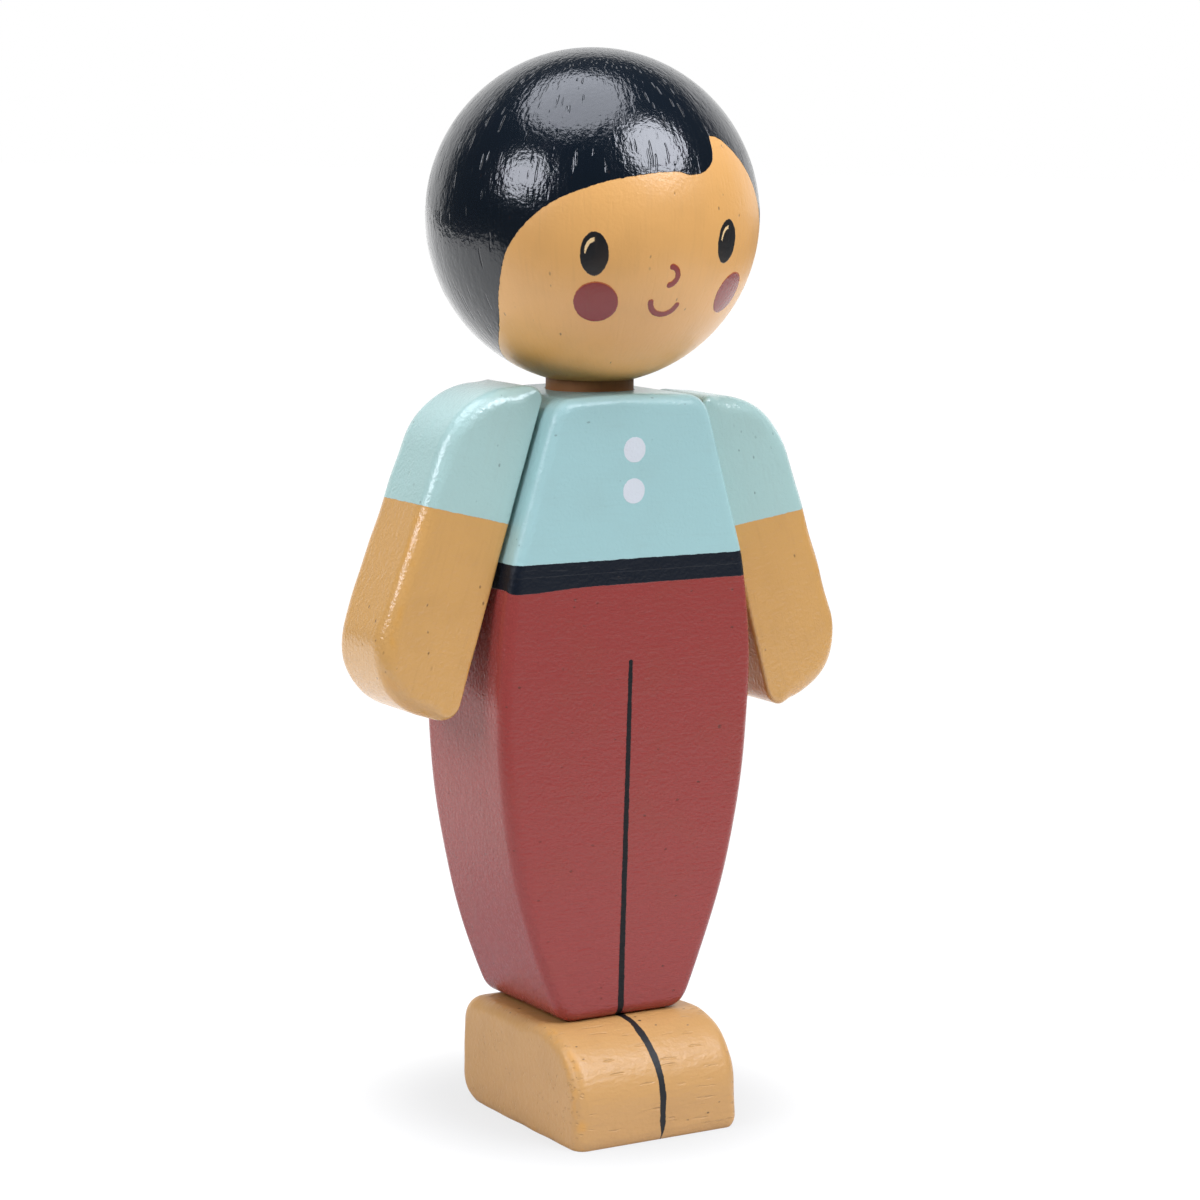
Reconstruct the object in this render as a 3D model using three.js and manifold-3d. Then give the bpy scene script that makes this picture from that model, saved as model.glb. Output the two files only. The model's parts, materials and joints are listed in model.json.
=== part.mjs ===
// A wooden toy figure: a turned ball head, a sawn body board, one block for both feet and two swinging arms.
// Millimetres. +Z is up, the figure faces -Y, and +X is its own left. The origin is on the floor, under the
// middle of the body board.

import * as THREE from 'three';
import { mergeVertices } from 'three/addons/utils/BufferGeometryUtils.js';
import Module from 'manifold-3d';

const wasm = await Module();
wasm.setup();

// Head and neck
const HEAD_DIAMETER = 35.8;
const HEAD_GAP = 0.45; // between the body's top and the lowest point of the ball
const NECK_DIAMETER = 9.5;
const NECK_SETBACK = 0.8; // how far the neck stands behind the middle of the board
const NECK_IN_BODY = 5.5;
const NECK_IN_HEAD = 13;

// Body board: widths are measured across the figure, heights between the widths
const BODY_THICKNESS = 16.9;
const SHOULDER_WIDTH = 18.6;
const WAIST_WIDTH = 29.1;
const HIP_BULGE = 1.3; // how far each hip stands out past the waist
const ANKLE_WIDTH = 15.5;
const WAIST_TO_SHOULDER = 17.6;
const HIP_TO_WAIST = 13.6;
const ANKLE_TO_HIP = 36.1;
const TOP_CROWN = 0.2; // rise of the top edge in the middle
const SHOULDER_CORNER = 2.4;
const ANKLE_CORNER = 1.8;
const BODY_EDGE_RADIUS = 1.3;

// Feet block
const FEET_LENGTH = 25.4;
const FEET_WIDTH = 20.6;
const FEET_HEIGHT = 11.9;
const TOE_TOP_RADIUS = 8;
const TOE_BOTTOM_RADIUS = 2;
const HEEL_TOP_RADIUS = 3.2;
const HEEL_BOTTOM_RADIUS = 4;
const HEEL_OVERHANG = 1; // how far the heel stands out behind the body
const FEET_EDGE_RADIUS = 1.5;
const SOLE_SANDING = 1.3; // taken off the rounded block to leave a flat sole

// Arms: widths are measured square to the flat inner face, heights along it from the peg
const ARM_THICKNESS = 10.4;
const ARM_FORWARD = 0.6; // how far the pegs stand in front of the middle of the board
const ARM_GAP = 0.4; // between the inner face and the body's slanted side
const ARM_ABOVE_PEG = 8.3;
const ARM_BELOW_PEG = 28.6;
const ARM_SHOULDER_WIDTH = 9.6;
const ARM_SHOULDER_FALL = 3.6; // drop of the top edge from the inner to the outer corner
const ARM_HAND_WIDTH = 11.6;
const ARM_SHOULDER_RADIUS = 9.5;
const ARM_HAND_RADIUS = 7.5;
const ARM_INNER_RADIUS = 1.6;
const ARM_EDGE_RADIUS = 1.4;

// Shoulder pegs
const PEG_DIAMETER = 5;
const PEG_IN_BODY = 6;
const PEG_IN_ARM = 6.5;
const PEG_BELOW_SHOULDER = 7.3; // height from the peg up to the shoulder line

// Dowels between the body and the feet
const FOOT_DOWEL_DIAMETER = 4;
const FOOT_DOWEL_SPACING = 7;
const FOOT_DOWEL_IN_FEET = 7;
const FOOT_DOWEL_IN_BODY = 9;

// Fits
const GLUE_GAP = 0.1; // around a glued dowel, on the radius
const RUNNING_GAP = 0.1; // around a dowel that turns in its bore, on the radius
const BORE_END_GAP = 0.5; // left free at the bottom of each blind bore
const DOWEL_CHAMFER = 0.6;

// Smoothness
const BALL_SEGMENTS = 48;
const DOWEL_SEGMENTS = 24;
const CURVE_SEGMENTS = 4;
const EDGE_SEGMENTS = 3;
const CUT_OVERRUN = 2; // how far a cutting tool runs past the face that it enters
const WELD_DISTANCE = 1e-4; // mesh points closer than this become one

// Heights and places that follow from the sizes above
const hipHeight = FEET_HEIGHT + ANKLE_TO_HIP;
const waistHeight = hipHeight + HIP_TO_WAIST;
const shoulderHeight = waistHeight + WAIST_TO_SHOULDER;
const bodyTop = shoulderHeight + TOP_CROWN;
const headRadius = HEAD_DIAMETER / 2;
const headCentre = bodyTop + HEAD_GAP + headRadius;
const sideLean = Math.atan2((WAIST_WIDTH - SHOULDER_WIDTH) / 2, WAIST_TO_SHOULDER);
const pegHeight = shoulderHeight - PEG_BELOW_SHOULDER;
const pegReach = SHOULDER_WIDTH / 2 + PEG_BELOW_SHOULDER * Math.tan(sideLean);

// Paint and wood
const hairPaint = new THREE.MeshStandardMaterial({ color: 0x141c2b, roughness: 0.35, metalness: 0 });
const trouserPaint = new THREE.MeshStandardMaterial({ color: 0x8f4646, roughness: 0.45, metalness: 0 });
const sleevePaint = new THREE.MeshStandardMaterial({ color: 0x9fc9c6, roughness: 0.45, metalness: 0 });
const skinPaint = new THREE.MeshStandardMaterial({ color: 0xd2a46a, roughness: 0.45, metalness: 0 });
const bareWood = new THREE.MeshStandardMaterial({ color: 0xb98550, roughness: 0.7, metalness: 0 });

function solidFrom(geometry) {
  const bare = geometry.clone();
  bare.deleteAttribute('normal');
  bare.deleteAttribute('uv');
  const welded = mergeVertices(bare, WELD_DISTANCE);
  const vertProperties = new Float32Array(welded.attributes.position.array);
  const triVerts = new Uint32Array(welded.index.array);
  return new wasm.Manifold(new wasm.Mesh({ numProp: 3, vertProperties, triVerts }));
}

function geometryFrom(solid) {
  const { vertProperties, triVerts } = solid.getMesh();
  const geometry = new THREE.BufferGeometry();
  geometry.setAttribute('position', new THREE.BufferAttribute(vertProperties, 3));
  geometry.setIndex(new THREE.BufferAttribute(triVerts, 1));
  geometry.computeVertexNormals();
  return geometry;
}

function cutBy(geometry, tools) {
  const cut = tools.reduce((solid, tool) => solid.subtract(solidFrom(tool)), solidFrom(geometry));
  return geometryFrom(cut);
}

// A closed outline of straight edges whose corners, given anticlockwise, are rounded by their own radius
function roundedOutline(corners) {
  const outline = new THREE.Shape();
  corners.forEach(({ point, radius }, i) => {
    const previous = corners.at(i - 1).point;
    const next = corners[(i + 1) % corners.length].point;
    const back = previous.clone().sub(point).normalize();
    const ahead = next.clone().sub(point).normalize();
    const halfAngle = Math.acos(back.dot(ahead)) / 2;
    const toCentre = back.clone().add(ahead).normalize().multiplyScalar(radius / Math.sin(halfAngle));
    const centre = point.clone().add(toCentre);
    const reach = radius / Math.tan(halfAngle);
    const start = back.multiplyScalar(reach).add(point).sub(centre).angle();
    const end = ahead.multiplyScalar(reach).add(point).sub(centre).angle();
    outline.absarc(centre.x, centre.y, radius, start, end, false);
  });
  return outline;
}

// A board with this outline, centred on Z = 0, with its edges rounded on both faces
function softBoard(outline, thickness, edgeRadius) {
  const board = new THREE.ExtrudeGeometry(outline, {
    depth: thickness - 2 * edgeRadius,
    curveSegments: CURVE_SEGMENTS,
    bevelThickness: edgeRadius,
    bevelSize: edgeRadius,
    bevelOffset: -edgeRadius,
    bevelSegments: EDGE_SEGMENTS,
  });
  return board.translate(0, 0, edgeRadius - thickness / 2);
}

// A dowel along +Z from Z = 0, with chamfered ends
function dowel(diameter, length) {
  const radius = diameter / 2;
  const profile = [
    new THREE.Vector2(0, 0),
    new THREE.Vector2(radius - DOWEL_CHAMFER, 0),
    new THREE.Vector2(radius, DOWEL_CHAMFER),
    new THREE.Vector2(radius, length - DOWEL_CHAMFER),
    new THREE.Vector2(radius - DOWEL_CHAMFER, length),
    new THREE.Vector2(0, length),
  ];
  return new THREE.LatheGeometry(profile, DOWEL_SEGMENTS).rotateX(Math.PI / 2);
}

// The tool for a bore along +Z, from its blind end at Z = 0 to past its mouth
function boreTool(diameter, gap, depth) {
  const radius = diameter / 2 + gap;
  const length = depth + CUT_OVERRUN;
  const tool = new THREE.CylinderGeometry(radius, radius, length, DOWEL_SEGMENTS);
  return tool.rotateX(Math.PI / 2).translate(0, 0, length / 2);
}

function headBall() {
  const boreRadius = NECK_DIAMETER / 2 + RUNNING_GAP;
  const mouthAngle = Math.asin(boreRadius / headRadius);
  const ball = new THREE.Path();
  ball.absarc(0, 0, headRadius, mouthAngle - Math.PI / 2, Math.PI / 2, false);
  const boreEnd = NECK_IN_HEAD - headRadius;
  const profile = [
    new THREE.Vector2(0, boreEnd),
    new THREE.Vector2(boreRadius, boreEnd),
    ...ball.getPoints(BALL_SEGMENTS / 4),
  ];
  profile.at(-1).x = 0;
  return new THREE.LatheGeometry(profile, BALL_SEGMENTS).rotateX(Math.PI / 2);
}

function neckLength() {
  return NECK_IN_BODY + HEAD_GAP + NECK_IN_HEAD - 2 * BORE_END_GAP;
}

// The front view of the body, in X and Z
function bodyOutline() {
  const shoulder = SHOULDER_WIDTH / 2;
  const waist = WAIST_WIDTH / 2;
  const hip = waist + HIP_BULGE;
  const ankle = ANKLE_WIDTH / 2;
  const legRadius = (ANKLE_TO_HIP ** 2 + (hip - ankle) ** 2) / (2 * (hip - ankle));
  const hipRadius = (HIP_TO_WAIST ** 2 + HIP_BULGE ** 2) / (2 * HIP_BULGE);
  const legAngle = Math.asin((ANKLE_TO_HIP - ANKLE_CORNER) / legRadius);
  const hipAngle = Math.asin(HIP_TO_WAIST / hipRadius);
  const legStart = hip - legRadius * (1 - Math.cos(legAngle));
  const cornerDrop = SHOULDER_CORNER * Math.cos(sideLean);
  const cornerOut = SHOULDER_CORNER * Math.sin(sideLean);
  const topCorner = shoulder - SHOULDER_CORNER;

  const outline = new THREE.Shape();
  outline.moveTo(ANKLE_CORNER - ankle, FEET_HEIGHT);
  outline.lineTo(ankle - ANKLE_CORNER, FEET_HEIGHT);
  outline.quadraticCurveTo(ankle, FEET_HEIGHT, legStart, FEET_HEIGHT + ANKLE_CORNER);
  outline.absarc(hip - legRadius, hipHeight, legRadius, -legAngle, 0, false);
  outline.absarc(hip - hipRadius, hipHeight, hipRadius, 0, hipAngle, false);
  outline.lineTo(shoulder + cornerOut, shoulderHeight - cornerDrop);
  outline.quadraticCurveTo(shoulder, shoulderHeight, topCorner, shoulderHeight);
  outline.quadraticCurveTo(0, shoulderHeight + 2 * TOP_CROWN, -topCorner, shoulderHeight);
  outline.quadraticCurveTo(-shoulder, shoulderHeight, -shoulder - cornerOut, shoulderHeight - cornerDrop);
  outline.lineTo(-waist, waistHeight);
  outline.absarc(hipRadius - hip, hipHeight, hipRadius, Math.PI - hipAngle, Math.PI, false);
  outline.absarc(legRadius - hip, hipHeight, legRadius, Math.PI, Math.PI + legAngle, false);
  outline.quadraticCurveTo(-ankle, FEET_HEIGHT, ANKLE_CORNER - ankle, FEET_HEIGHT);
  return outline;
}

// Places something that is drawn round a shoulder peg, which runs out along X from the body's slanted side
function atShoulder(side, object) {
  object.position.set(side * pegReach, -ARM_FORWARD, pegHeight);
  object.rotation.y = -side * sideLean;
  object.updateMatrix();
  return object;
}

// Turns a shape that runs along +Z so that it runs outward along X on this side
function outward(side, geometry) {
  return geometry.rotateY((side * Math.PI) / 2);
}

function bodyBoard() {
  const board = softBoard(bodyOutline(), BODY_THICKNESS, BODY_EDGE_RADIUS).rotateX(Math.PI / 2);
  const neckBore = boreTool(NECK_DIAMETER, GLUE_GAP, NECK_IN_BODY);
  neckBore.translate(0, NECK_SETBACK, bodyTop - NECK_IN_BODY);
  const pegBores = [-1, 1].map((side) => {
    const tool = boreTool(PEG_DIAMETER, RUNNING_GAP, PEG_IN_BODY).translate(0, 0, -PEG_IN_BODY);
    return outward(side, tool).applyMatrix4(atShoulder(side, new THREE.Object3D()).matrix);
  });
  const footBores = [-1, 1].map((side) => {
    const tool = boreTool(FOOT_DOWEL_DIAMETER, GLUE_GAP, FOOT_DOWEL_IN_BODY).rotateX(Math.PI);
    return tool.translate((side * FOOT_DOWEL_SPACING) / 2, 0, FEET_HEIGHT + FOOT_DOWEL_IN_BODY);
  });
  return cutBy(board, [neckBore, ...pegBores, ...footBores]);
}

// The feet, drawn from the side with the toes along +X, then turned to face -Y and sanded flat underneath
function feetBlock() {
  const heel = -BODY_THICKNESS / 2 - HEEL_OVERHANG;
  const toe = heel + FEET_LENGTH;
  const sideView = roundedOutline([
    { point: new THREE.Vector2(heel, -SOLE_SANDING), radius: HEEL_BOTTOM_RADIUS },
    { point: new THREE.Vector2(toe, -SOLE_SANDING), radius: TOE_BOTTOM_RADIUS },
    { point: new THREE.Vector2(toe, FEET_HEIGHT), radius: TOE_TOP_RADIUS },
    { point: new THREE.Vector2(heel, FEET_HEIGHT), radius: HEEL_TOP_RADIUS },
  ]);
  const block = softBoard(sideView, FEET_WIDTH, FEET_EDGE_RADIUS).rotateX(Math.PI / 2).rotateZ(-Math.PI / 2);
  const bores = [-1, 1].map((side) => {
    const tool = boreTool(FOOT_DOWEL_DIAMETER, GLUE_GAP, FOOT_DOWEL_IN_FEET);
    return tool.translate((side * FOOT_DOWEL_SPACING) / 2, 0, FEET_HEIGHT - FOOT_DOWEL_IN_FEET);
  });
  const sanding = new THREE.BoxGeometry(2 * FEET_WIDTH, 2 * FEET_LENGTH, SOLE_SANDING + CUT_OVERRUN);
  sanding.translate(0, 0, -(SOLE_SANDING + CUT_OVERRUN) / 2);
  return cutBy(block, [sanding, ...bores]);
}

// An arm round its own peg: the flat inner face stands ARM_GAP out along X, and the hand hangs down
function armBar(side) {
  const corners = [
    { point: new THREE.Vector2(0, ARM_ABOVE_PEG), radius: ARM_INNER_RADIUS },
    { point: new THREE.Vector2(0, -ARM_BELOW_PEG), radius: ARM_INNER_RADIUS },
    { point: new THREE.Vector2(ARM_HAND_WIDTH, -ARM_BELOW_PEG), radius: ARM_HAND_RADIUS },
    {
      point: new THREE.Vector2(ARM_SHOULDER_WIDTH, ARM_ABOVE_PEG - ARM_SHOULDER_FALL),
      radius: ARM_SHOULDER_RADIUS,
    },
  ];
  corners.forEach(({ point }) => point.setX(side * (point.x + ARM_GAP)));
  const frontView = roundedOutline(side > 0 ? corners : corners.reverse());
  const bar = softBoard(frontView, ARM_THICKNESS, ARM_EDGE_RADIUS).rotateX(Math.PI / 2);
  const bore = boreTool(PEG_DIAMETER, GLUE_GAP, PEG_IN_ARM).rotateX(Math.PI);
  bore.translate(0, 0, ARM_GAP + PEG_IN_ARM);
  return cutBy(bar, [outward(side, bore)]);
}

function shoulderPeg(side) {
  const length = PEG_IN_BODY + ARM_GAP + PEG_IN_ARM - 2 * BORE_END_GAP;
  const peg = dowel(PEG_DIAMETER, length).translate(0, 0, BORE_END_GAP - PEG_IN_BODY);
  return outward(side, peg);
}

function footDowel() {
  return dowel(FOOT_DOWEL_DIAMETER, FOOT_DOWEL_IN_FEET + FOOT_DOWEL_IN_BODY - 2 * BORE_END_GAP);
}

function piece(name, geometry, material) {
  const mesh = new THREE.Mesh(geometry, material);
  mesh.name = name;
  return mesh;
}

const figure = new THREE.Group();

const head = piece('head', headBall(), hairPaint);
head.position.set(0, NECK_SETBACK, headCentre);
figure.add(head);

const neck = piece('neck_dowel', dowel(NECK_DIAMETER, neckLength()), bareWood);
neck.position.set(0, NECK_SETBACK, bodyTop - NECK_IN_BODY + BORE_END_GAP);
figure.add(neck);

figure.add(piece('body', bodyBoard(), trouserPaint));
figure.add(piece('feet', feetBlock(), skinPaint));

for (const [sideName, side] of [['right', -1], ['left', 1]]) {
  const shoulder = atShoulder(side, new THREE.Group());
  shoulder.add(piece(`arm_${sideName}`, armBar(side), sleevePaint));
  shoulder.add(piece(`shoulder_peg_${sideName}`, shoulderPeg(side), bareWood));
  figure.add(shoulder);

  const pin = piece(`foot_dowel_${sideName}`, footDowel(), bareWood);
  pin.position.set((side * FOOT_DOWEL_SPACING) / 2, 0, FEET_HEIGHT - FOOT_DOWEL_IN_FEET + BORE_END_GAP);
  figure.add(pin);
}

export default figure;
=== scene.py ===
"""A small wooden toy figure: painted ball head, sawn body board, swinging arms and a block for both feet.

Sizes are in millimetres and become the scene's metres through MM. The figure faces -Y, +Z is up and +X is
its own left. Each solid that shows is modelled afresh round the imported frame, with soft sanded edges, and
painted by nodes. The hidden pegs and dowels stay as packed and get bare wood.
"""

import json
import math
from collections import namedtuple

import bmesh
import bpy
import numpy as np
from mathutils import Matrix, Vector
from mathutils.kdtree import KDTree


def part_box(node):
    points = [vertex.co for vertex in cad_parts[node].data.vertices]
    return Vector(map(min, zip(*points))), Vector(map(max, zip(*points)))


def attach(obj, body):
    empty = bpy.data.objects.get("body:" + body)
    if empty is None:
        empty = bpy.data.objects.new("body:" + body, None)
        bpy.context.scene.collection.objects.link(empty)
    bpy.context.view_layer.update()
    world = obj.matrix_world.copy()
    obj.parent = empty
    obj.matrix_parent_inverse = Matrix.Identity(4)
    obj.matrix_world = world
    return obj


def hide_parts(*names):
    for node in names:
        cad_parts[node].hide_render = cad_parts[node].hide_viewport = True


MM = 0.001

# Camera: where it stands and which way it looks
CAMERA_PLACE = Vector((-196.8, -316.0, 112.1))
CAMERA_HEADING = 32.08  # degrees from +Y towards +X
CAMERA_DIP = 8.51
CAMERA_ROLL = 0.95
CAMERA_LENS = 104.04
CAMERA_SENSOR = 36
CAMERA_RANGE = (0.01, 50)  # metres, from the nearest to the farthest thing it shows

# Body board, seen from the front
SHOULDER_WIDTH = 18.6
WAIST_WIDTH = 29.1
HIP_BULGE = 1.3
ANKLE_WIDTH = 15.5
WAIST_TO_SHOULDER = 17.6
HIP_TO_WAIST = 13.6
ANKLE_TO_HIP = 36.1
TOP_CROWN = 0.2
SHOULDER_CORNER = 2.4
ANKLE_CORNER = 1.8
BODY_EDGE = 1.3
BODY_UNEVENNESS = 0.1  # the share by which sanding left the edge's radius uneven

# Arms, round their pegs
ARM_GAP = 0.4
ARM_ABOVE_PEG = 8.3
ARM_BELOW_PEG = 28.6
ARM_RISE = {"right": 0.6, "left": -1.2}  # each arm sits a little differently on its peg
ARM_SHOULDER_WIDTH = 9.6
ARM_SHOULDER_FALL = 3.6
ARM_HAND_WIDTH = 11.6
ARM_SHOULDER_RADIUS = 9.5
ARM_HAND_RADIUS = 7.5
ARM_ARMPIT_RADIUS = 1.3
ARM_PALM_RADIUS = 2.2
ARM_OUTER_EDGE = 1.7
ARM_INNER_EDGE = 0.45
ARM_EDGE_CHANGE = (0.4, 3.5)  # outwards from the inner face, from the inner to the outer edge's radius
ARM_UNEVENNESS = 0.12

# Feet block, seen from the side
TOE_TOP_RADIUS = 8.0
TOE_BOTTOM_RADIUS = 2.0
HEEL_TOP_RADIUS = 3.2
HEEL_BOTTOM_RADIUS = 4.0
FEET_EDGE = 1.6
FEET_UNEVENNESS = 0.12
SOLE_SANDING = 0.7  # taken off the rounded block to leave a flat sole

# Dowels and their bores
NECK_BORE_GAP = 0.1
NECK_CHAMFER = 0.6
NECK_IN_BODY = 5.5
NECK_IN_HEAD = 13.0
PEG_BORE = 5.2
PEG_IN_BODY = 6.0
PEG_IN_ARM = 6.5
FOOT_BORE = 4.2
FOOT_DOWEL_SPACING = 7.0
FOOT_DOWEL_IN_FEET = 7.0
FOOT_DOWEL_IN_BODY = 9.0

# Fineness of the meshes
OUTLINE_STEP = 0.35
EDGE_STEPS = 8
FLAT_MARGIN = 0.3  # a narrow flat band beside each rounded edge keeps the shading of the faces true
HEAD_SEGMENTS = 320
HEAD_ROW_STEP = 0.8  # degrees
DOWEL_SEGMENTS = 96
SHARP_ANGLE = math.radians(40)
DRILL_OVERRUN = 2.0  # a drill starts this far outside the wood
SANDING_WAVES = (3, 5, 8, 13)  # waves in one round of an outline
SANDING_SPREAD = 1.6  # brings the mean of the waves to about -1 to 1

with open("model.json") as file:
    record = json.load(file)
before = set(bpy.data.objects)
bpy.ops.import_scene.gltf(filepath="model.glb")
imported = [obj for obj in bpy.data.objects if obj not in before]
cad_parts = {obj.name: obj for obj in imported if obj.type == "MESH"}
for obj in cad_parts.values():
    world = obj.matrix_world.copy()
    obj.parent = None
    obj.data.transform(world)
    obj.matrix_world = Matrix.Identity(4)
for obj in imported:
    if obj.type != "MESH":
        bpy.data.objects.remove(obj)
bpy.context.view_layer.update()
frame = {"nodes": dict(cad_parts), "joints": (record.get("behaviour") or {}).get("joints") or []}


# Small tools for places and meshes

def box_mm(node):
    low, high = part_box(node)
    return low / MM, high / MM


def joint_named(name):
    return next(joint for joint in frame["joints"] if joint["name"] == name)


def smooth_step(value, low, high):
    share = np.clip((value - low) / (high - low), 0, 1)
    return share * share * (3 - 2 * share)


def arc(centre, radius, start, end, steps=24):
    angles = np.linspace(start, end, steps)
    return np.array(centre) + radius * np.stack([np.cos(angles), np.sin(angles)], axis=-1)


def bend(start, corner, end, steps=12):
    """A quadratic curve that leaves start towards corner and arrives at end from it."""
    t = np.linspace(0, 1, steps)[:, None]
    return (1 - t) ** 2 * np.array(start) + 2 * t * (1 - t) * np.array(corner) + t ** 2 * np.array(end)


def rounded(corners):
    """The closed outline of straight sides between anticlockwise corners, each ((x, y), radius)."""
    runs = []
    count = len(corners)
    for i, (point, radius) in enumerate(corners):
        point = np.array(point)
        back = np.array(corners[i - 1][0]) - point
        ahead = np.array(corners[(i + 1) % count][0]) - point
        back = back / np.linalg.norm(back)
        ahead = ahead / np.linalg.norm(ahead)
        half_angle = math.acos(back @ ahead) / 2
        middle = (back + ahead) / np.linalg.norm(back + ahead)
        centre = point + middle * radius / math.sin(half_angle)
        reach = radius / math.tan(half_angle)
        first = point + back * reach - centre
        last = point + ahead * reach - centre
        start = math.atan2(first[1], first[0])
        turn = (math.atan2(last[1], last[0]) - start) % (2 * math.pi)
        runs.append(arc(centre, radius, start, start + turn))
    return np.concatenate(runs)


def even(points, step):
    """The same closed outline with its points at even distances."""
    loop = np.concatenate([points, points[:1]])
    lengths = np.linalg.norm(np.diff(loop, axis=0), axis=1)
    along = np.concatenate([[0], np.cumsum(lengths)])
    places = np.linspace(0, along[-1], round(along[-1] / step), endpoint=False)
    return np.stack([np.interp(places, along, loop[:, k]) for k in range(2)], axis=-1)


def eased(points, reach):
    """A closed, even outline with its corners eased over this many points each way."""
    shifted = [np.roll(points, k, axis=0) for k in range(-reach, reach + 1)]
    return np.mean(shifted, axis=0)


def outward(points):
    """Unit normals of a closed anticlockwise outline."""
    along = np.roll(points, -1, axis=0) - np.roll(points, 1, axis=0)
    normals = np.stack([along[:, 1], -along[:, 0]], axis=-1)
    return normals / np.linalg.norm(normals, axis=1, keepdims=True)


def wander(count, seed):
    """A slow unevenness between about -1 and 1 round a closed outline, as hand sanding leaves."""
    chance = np.random.default_rng(seed)
    turn = np.linspace(0, 2 * math.pi, count, endpoint=False)
    waves = [np.sin(k * turn + chance.uniform(0, 2 * math.pi)) for k in SANDING_WAVES]
    return sum(waves) / len(waves) * SANDING_SPREAD


def new_piece(name, points, faces, worn=None):
    """A piece from points in millimetres, shaded smooth but for its sharp edges.

    worn says how much each point is rubbed, from 0 to 1.
    """
    mesh = bpy.data.meshes.new(name)
    mesh.from_pydata([tuple(p) for p in np.asarray(points) * MM], [], faces)
    if worn is not None:
        mesh.attributes.new("worn", "FLOAT", "POINT").data.foreach_set("value", np.float32(worn))
    piece = bpy.data.objects.new(name, mesh)
    bpy.context.scene.collection.objects.link(piece)
    turn_faces_out(mesh)
    finish_shading(mesh)
    return piece


def turn_faces_out(mesh):
    work = bmesh.new()
    work.from_mesh(mesh)
    bmesh.ops.recalc_face_normals(work, faces=work.faces)
    work.to_mesh(mesh)
    work.free()


def finish_shading(mesh):
    mesh.polygons.foreach_set("use_smooth", [True] * len(mesh.polygons))
    mesh.set_sharp_from_angle(angle=SHARP_ANGLE)


def ring_faces(rings, count):
    """Quads between rings of points, each ring closed on itself."""
    faces = []
    for ring in range(rings - 1):
        for i in range(count):
            j = (i + 1) % count
            near = ring * count
            far = near + count
            faces.append((near + i, near + j, far + j, far + i))
    return faces


def soft_board(name, outline, half, radius, turn=np.eye(3)):
    """A board of this outline, half deep each way, its edges rounded by each outline point's own radius.

    The outline lies in the board's X and Z and the depth along Y, then turn places the board.
    """
    normals = outward(outline)
    angles = np.linspace(0, math.pi / 2, EDGE_STEPS + 1)
    insets = [0 * radius] + [radius * (1 - math.cos(a)) for a in angles] + [radius + FLAT_MARGIN]
    depths = [half - radius - FLAT_MARGIN] + [half - radius * (1 - math.sin(a)) for a in angles]
    depths.append(half + 0 * radius)
    wears = [0] + [math.sin(2 * a) for a in angles] + [0]
    layers = list(zip(insets, depths, wears))
    rings = [(inset, depth, wear) for inset, depth, wear in reversed(layers)]
    rings += [(inset, -depth, wear) for inset, depth, wear in layers]

    points = []
    worn = []
    for inset, depth, wear in rings:
        flat = outline - normals * inset[:, None]
        points.append(np.stack([flat[:, 0], depth, flat[:, 1]], axis=-1))
        worn.append(np.full(len(outline), wear))
    count = len(outline)
    faces = ring_faces(len(rings), count)
    last = (len(rings) - 1) * count
    faces.append(tuple(range(count)))
    faces.append(tuple(range(last, last + count)))
    return new_piece(name, np.concatenate(points) @ turn.T, faces, np.concatenate(worn))


def turned(name, profile, segments):
    """A turned piece round Z from a profile of (radius, height) that starts and ends on the axis."""
    inner = np.array(profile[1:-1])
    angles = np.linspace(0, 2 * math.pi, segments, endpoint=False)
    circle = np.stack([np.sin(angles), -np.cos(angles)], axis=-1)
    rings = [np.column_stack([radius * circle, np.full(segments, height)]) for radius, height in inner]
    points = np.concatenate(rings + [[(0, 0, profile[0][1]), (0, 0, profile[-1][1])]])
    faces = ring_faces(len(rings), segments)
    low_tip = len(rings) * segments
    last = (len(rings) - 1) * segments
    for i in range(segments):
        j = (i + 1) % segments
        faces.append((low_tip, j, i))
        faces.append((low_tip + 1, last + i, last + j))
    return new_piece(name, points, faces)


def sand_flat(piece, height):
    """Takes off all that lies below this height and closes the cut."""
    work = bmesh.new()
    work.from_mesh(piece.data)
    everything = work.verts[:] + work.edges[:] + work.faces[:]
    cut = bmesh.ops.bisect_plane(work, geom=everything, plane_co=(0, 0, height * MM), plane_no=(0, 0, 1),
                                 clear_inner=True)
    rim = [part for part in cut["geom_cut"] if isinstance(part, bmesh.types.BMEdge)]
    bmesh.ops.contextual_create(work, geom=rim)
    bmesh.ops.recalc_face_normals(work, faces=work.faces)
    work.to_mesh(piece.data)
    work.free()
    finish_shading(piece.data)


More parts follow.
